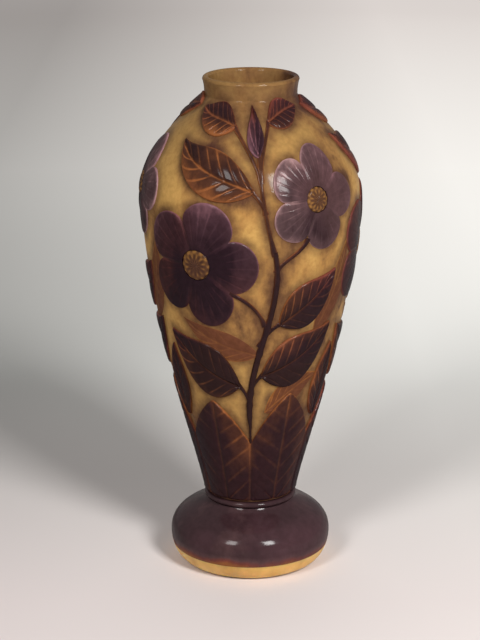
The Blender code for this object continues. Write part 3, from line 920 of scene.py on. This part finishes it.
class VASE_OT_lay_blossoms(Operator):
    """Lays the open blossoms of each spray, with their eyes"""

    bl_idname = "vase.lay_blossoms"
    bl_label = "Lay blossoms"

    def execute(self, context):
        surface, colours = BodySurface(context.scene.vase_sizes), context.scene.vase_colours
        hues = ((colours.lilac, colours.plum), (colours.mauve, colours.aubergine))
        petals = {"large": petal_glass(colours), "small": overlay_glass("petal_mauve", hues)}
        hues = ((colours.ochre, colours.bark), (colours.ochre, colours.umber))
        ochre = overlay_glass("eye_ochre_glass", hues)
        for spray, turn in SPRAYS.items():
            for name, blossom in BLOSSOMS.items():
                islands = [(BLOSSOM_GRID, blossom_shape(surface, blossom, turn))]
                label, node = f"blossom_{name}_{spray}", f"spray{spray}_blossom_{name}"
                lay(label, surface, islands, petals[name], node)
                islands = [(EYE_GRID, eye_shape(surface, blossom, turn))]
                label, node = f"eye_{name}_{spray}", f"spray{spray}_eye_{name}"
                lay(label, surface, islands, ochre, node)
        return {"FINISHED"}


class VASE_OT_stain_ground(Operator):
    """Stains the amber ground beside the overlay, where thin traces of it are left"""

    bl_idname = "vase.stain_ground"
    bl_label = "Stain ground"

    def execute(self, context):
        vessel = bpy.data.objects.get("vessel")
        if vessel is None:
            raise RuntimeError("The casing has to be blown before its ground is stained")
        reach = context.scene.vase_sizes.stain_reach
        meshes = [piece.data for piece in bpy.data.objects if piece.type == "MESH"]
        islands = [mesh for mesh in meshes if "tone" in mesh.attributes]
        traces = KDTree(sum(len(mesh.vertices) for mesh in islands))
        for mesh in islands:
            for vert in mesh.vertices:
                traces.insert(vert.co, vert.index)
        traces.balance()
        stain = vessel.data.attributes.new("stain", "FLOAT", "POINT")
        for vert in vessel.data.vertices:
            _, _, distance = traces.find(vert.co)
            stain.data[vert.index].value = groove(distance, reach)
        return {"FINISHED"}


class VASE_OT_set_stage(Operator):
    """Sets the table, the soft lamps, the world and the camera"""

    bl_idname = "vase.set_stage"
    bl_label = "Set stage"

    def execute(self, context):
        scene, stage = context.scene, context.scene.vase_stage
        aim = Vector(stage.aim)
        self.table(stage)
        sides = (("lamp_right", 1, stage.key_power), ("lamp_left", -1, stage.fill_power))
        for name, side, power in sides:
            turn = side * stage.lamp_turn
            corner = Vector((sin(turn), -cos(turn), 0.0)) * stage.lamp_reach
            corner.z = stage.lamp_height
            self.lamp(name, corner, aim, SOFTBOX, power)
        behind = Vector(stage.back_place)
        self.lamp("lamp_back", behind, aim, WIDE_LAMP, stage.back_power, glints=False)
        beside, paper = Vector(stage.paper_place), Vector(stage.paper_target)
        self.lamp("lamp_paper", beside, paper, SOFTBOX, stage.paper_power)
        scene.world = self.world(stage)
        scene.camera = self.camera(stage, aim)
        scene.view_settings.view_transform = "Standard"
        return {"FINISHED"}

    def camera(self, stage, aim):
        """A camera that looks at the vase from the front and a little from above."""
        lens = bpy.data.cameras.new("camera")
        lens.lens = stage.lens
        lens.sensor_width = 36.0
        camera = placed("camera", lens)
        away = Vector((0.0, -cos(stage.pitch), sin(stage.pitch)))
        camera.location = aim + away * stage.distance
        camera.rotation_euler = (-away).to_track_quat("-Z", "Y").to_euler()
        return camera

    def table(self, stage):
        """A wide table: paper that takes the shadows near the vase, and beyond it and under the
        lamps a painted glow, seen only directly and in gloss, darker on the left, brighter on the
        right and dimmer far off.
        """
        bm = bmesh.new()
        bmesh.ops.create_circle(bm, cap_ends=True, segments=96, radius=TABLE_RADIUS)
        mesh = bpy.data.meshes.new("table")
        bm.to_mesh(mesh)
        bm.free()
        nodes = Nodes("table_paper")
        # Painted light: the paper's colour is darker on the left and lightest just right of the
        # vase, standing for uneven light on it.
        sideways, back = nodes.axis("X"), nodes.axis("Y")
        across = nodes.spread(sideways, *PAPER_ACROSS)
        left, right = (0.0, stage.paper_left), (0.4, stage.paper_right)
        behind = nodes.ramp(across, left, right, (1.0, stage.paper_left))
        front = nodes.ramp(across, (0.0, stage.table_left), (0.4, stage.table_right))
        tint = nodes.mix(nodes.spread(back, *FRONT_TO_BEHIND), front, behind)
        paper = nodes.tree.nodes["Principled BSDF"]
        nodes.give(paper, {"Base Color": tint, "Roughness": 0.9})

        # Painted light: a glow in place of lit paper, far off and under the lamps, darker on the
        # left, brighter on the right and dimmer further away.
        out = nodes.add("VectorMath", {0: nodes.coordinates}, operation="LENGTH")
        reach = out.outputs["Value"]
        across = nodes.spread(sideways, *DISTANCE_ACROSS)
        view = nodes.ramp(across, (0.0, stage.distance_left), (1.0, stage.distance_right))
        fade = nodes.ramp(nodes.spread(reach, *DISTANCE_DIMS), (0.0, WHITE), (1.0, FAR_SHADE))
        view = nodes.mix(1.0, view, fade, "MULTIPLY")
        view = nodes.mix(nodes.spread(reach, *TO_HORIZON), view, (*stage.horizon, 1.0))
        distance = nodes.add("Emission", {"Color": view})
        beyond = nodes.spread(reach, *PAPER_TO_DISTANCE)
        beyond = nodes.math("MAXIMUM", beyond, nodes.spread(back, *UNDER_LAMPS, 1.0, 0.0))
        share = nodes.math("MULTIPLY", beyond, nodes.seen())
        nodes.show("Material Output", share, paper, distance)
        mesh.materials.append(nodes.owner)
        placed("table", mesh)

    def world(self, stage):
        """A faint even light from all round, seen as a pale horizon."""
        nodes = Nodes("studio", "worlds")
        sky = nodes.tree.nodes["Background"]
        nodes.give(sky, {"Color": (1.0, 0.985, 0.97, 1.0), "Strength": stage.sky})
        horizon = nodes.add("Background", {"Color": (*stage.horizon, 1.0)})
        nodes.show("World Output", nodes.seen(), sky, horizon)
        return nodes.owner

    def lamp(self, name, corner, target, size, power, glints=True):
        """A soft lamp that faces a target, with or without glints in the glass."""
        light = bpy.data.lights.new(name, "AREA")
        light.shape = "RECTANGLE"
        light.size, light.size_y = size
        light.energy = power
        light.color = (1.0, 0.985, 0.965)
        lamp = placed(name, light)
        lamp.location = corner
        lamp.rotation_euler = (target - corner).to_track_quat("-Z", "Y").to_euler()
        lamp.visible_camera = False
        lamp.visible_glossy = glints


class VASE_PT_panel(Panel):
    """Sizes, colours and steps of the vase"""

    bl_idname = "VASE_PT_panel"
    bl_label = "Overlay glass vase"
    bl_space_type = "VIEW_3D"
    bl_region_type = "UI"
    bl_category = "Vase"

    def draw(self, context):
        column = self.layout.column()
        for operator in OPERATORS:
            column.operator(operator.bl_idname)
        for group, kind in GROUPS.items():
            box = self.layout.box()
            for name in kind.__annotations__:
                box.prop(getattr(context.scene, group), name)


GROUPS = {"vase_sizes": VaseSizes, "vase_colours": GlassColours, "vase_stage": StageSettings}
OPERATORS = (
    VASE_OT_blow_casing,
    VASE_OT_join_wafer,
    VASE_OT_turn_foot,
    VASE_OT_lay_sheath,
    VASE_OT_lay_stems,
    VASE_OT_lay_leaves,
    VASE_OT_lay_blossoms,
    VASE_OT_stain_ground,
    VASE_OT_set_stage,
)


def register():
    for item in (*GROUPS.values(), *OPERATORS, VASE_PT_panel):
        bpy.utils.register_class(item)
    for name, group in GROUPS.items():
        setattr(bpy.types.Scene, name, PointerProperty(type=group))


def unregister():
    for name in GROUPS:
        delattr(bpy.types.Scene, name)
    for item in reversed((*GROUPS.values(), *OPERATORS, VASE_PT_panel)):
        bpy.utils.unregister_class(item)


def main():
    register()
    bpy.ops.vase.blow_casing()
    bpy.ops.vase.join_wafer()
    bpy.ops.vase.turn_foot()
    bpy.ops.vase.lay_sheath()
    bpy.ops.vase.lay_stems()
    bpy.ops.vase.lay_leaves()
    bpy.ops.vase.lay_blossoms()
    bpy.ops.vase.stain_ground()
    bpy.ops.vase.set_stage()


if __name__ == "__main__":
    main()
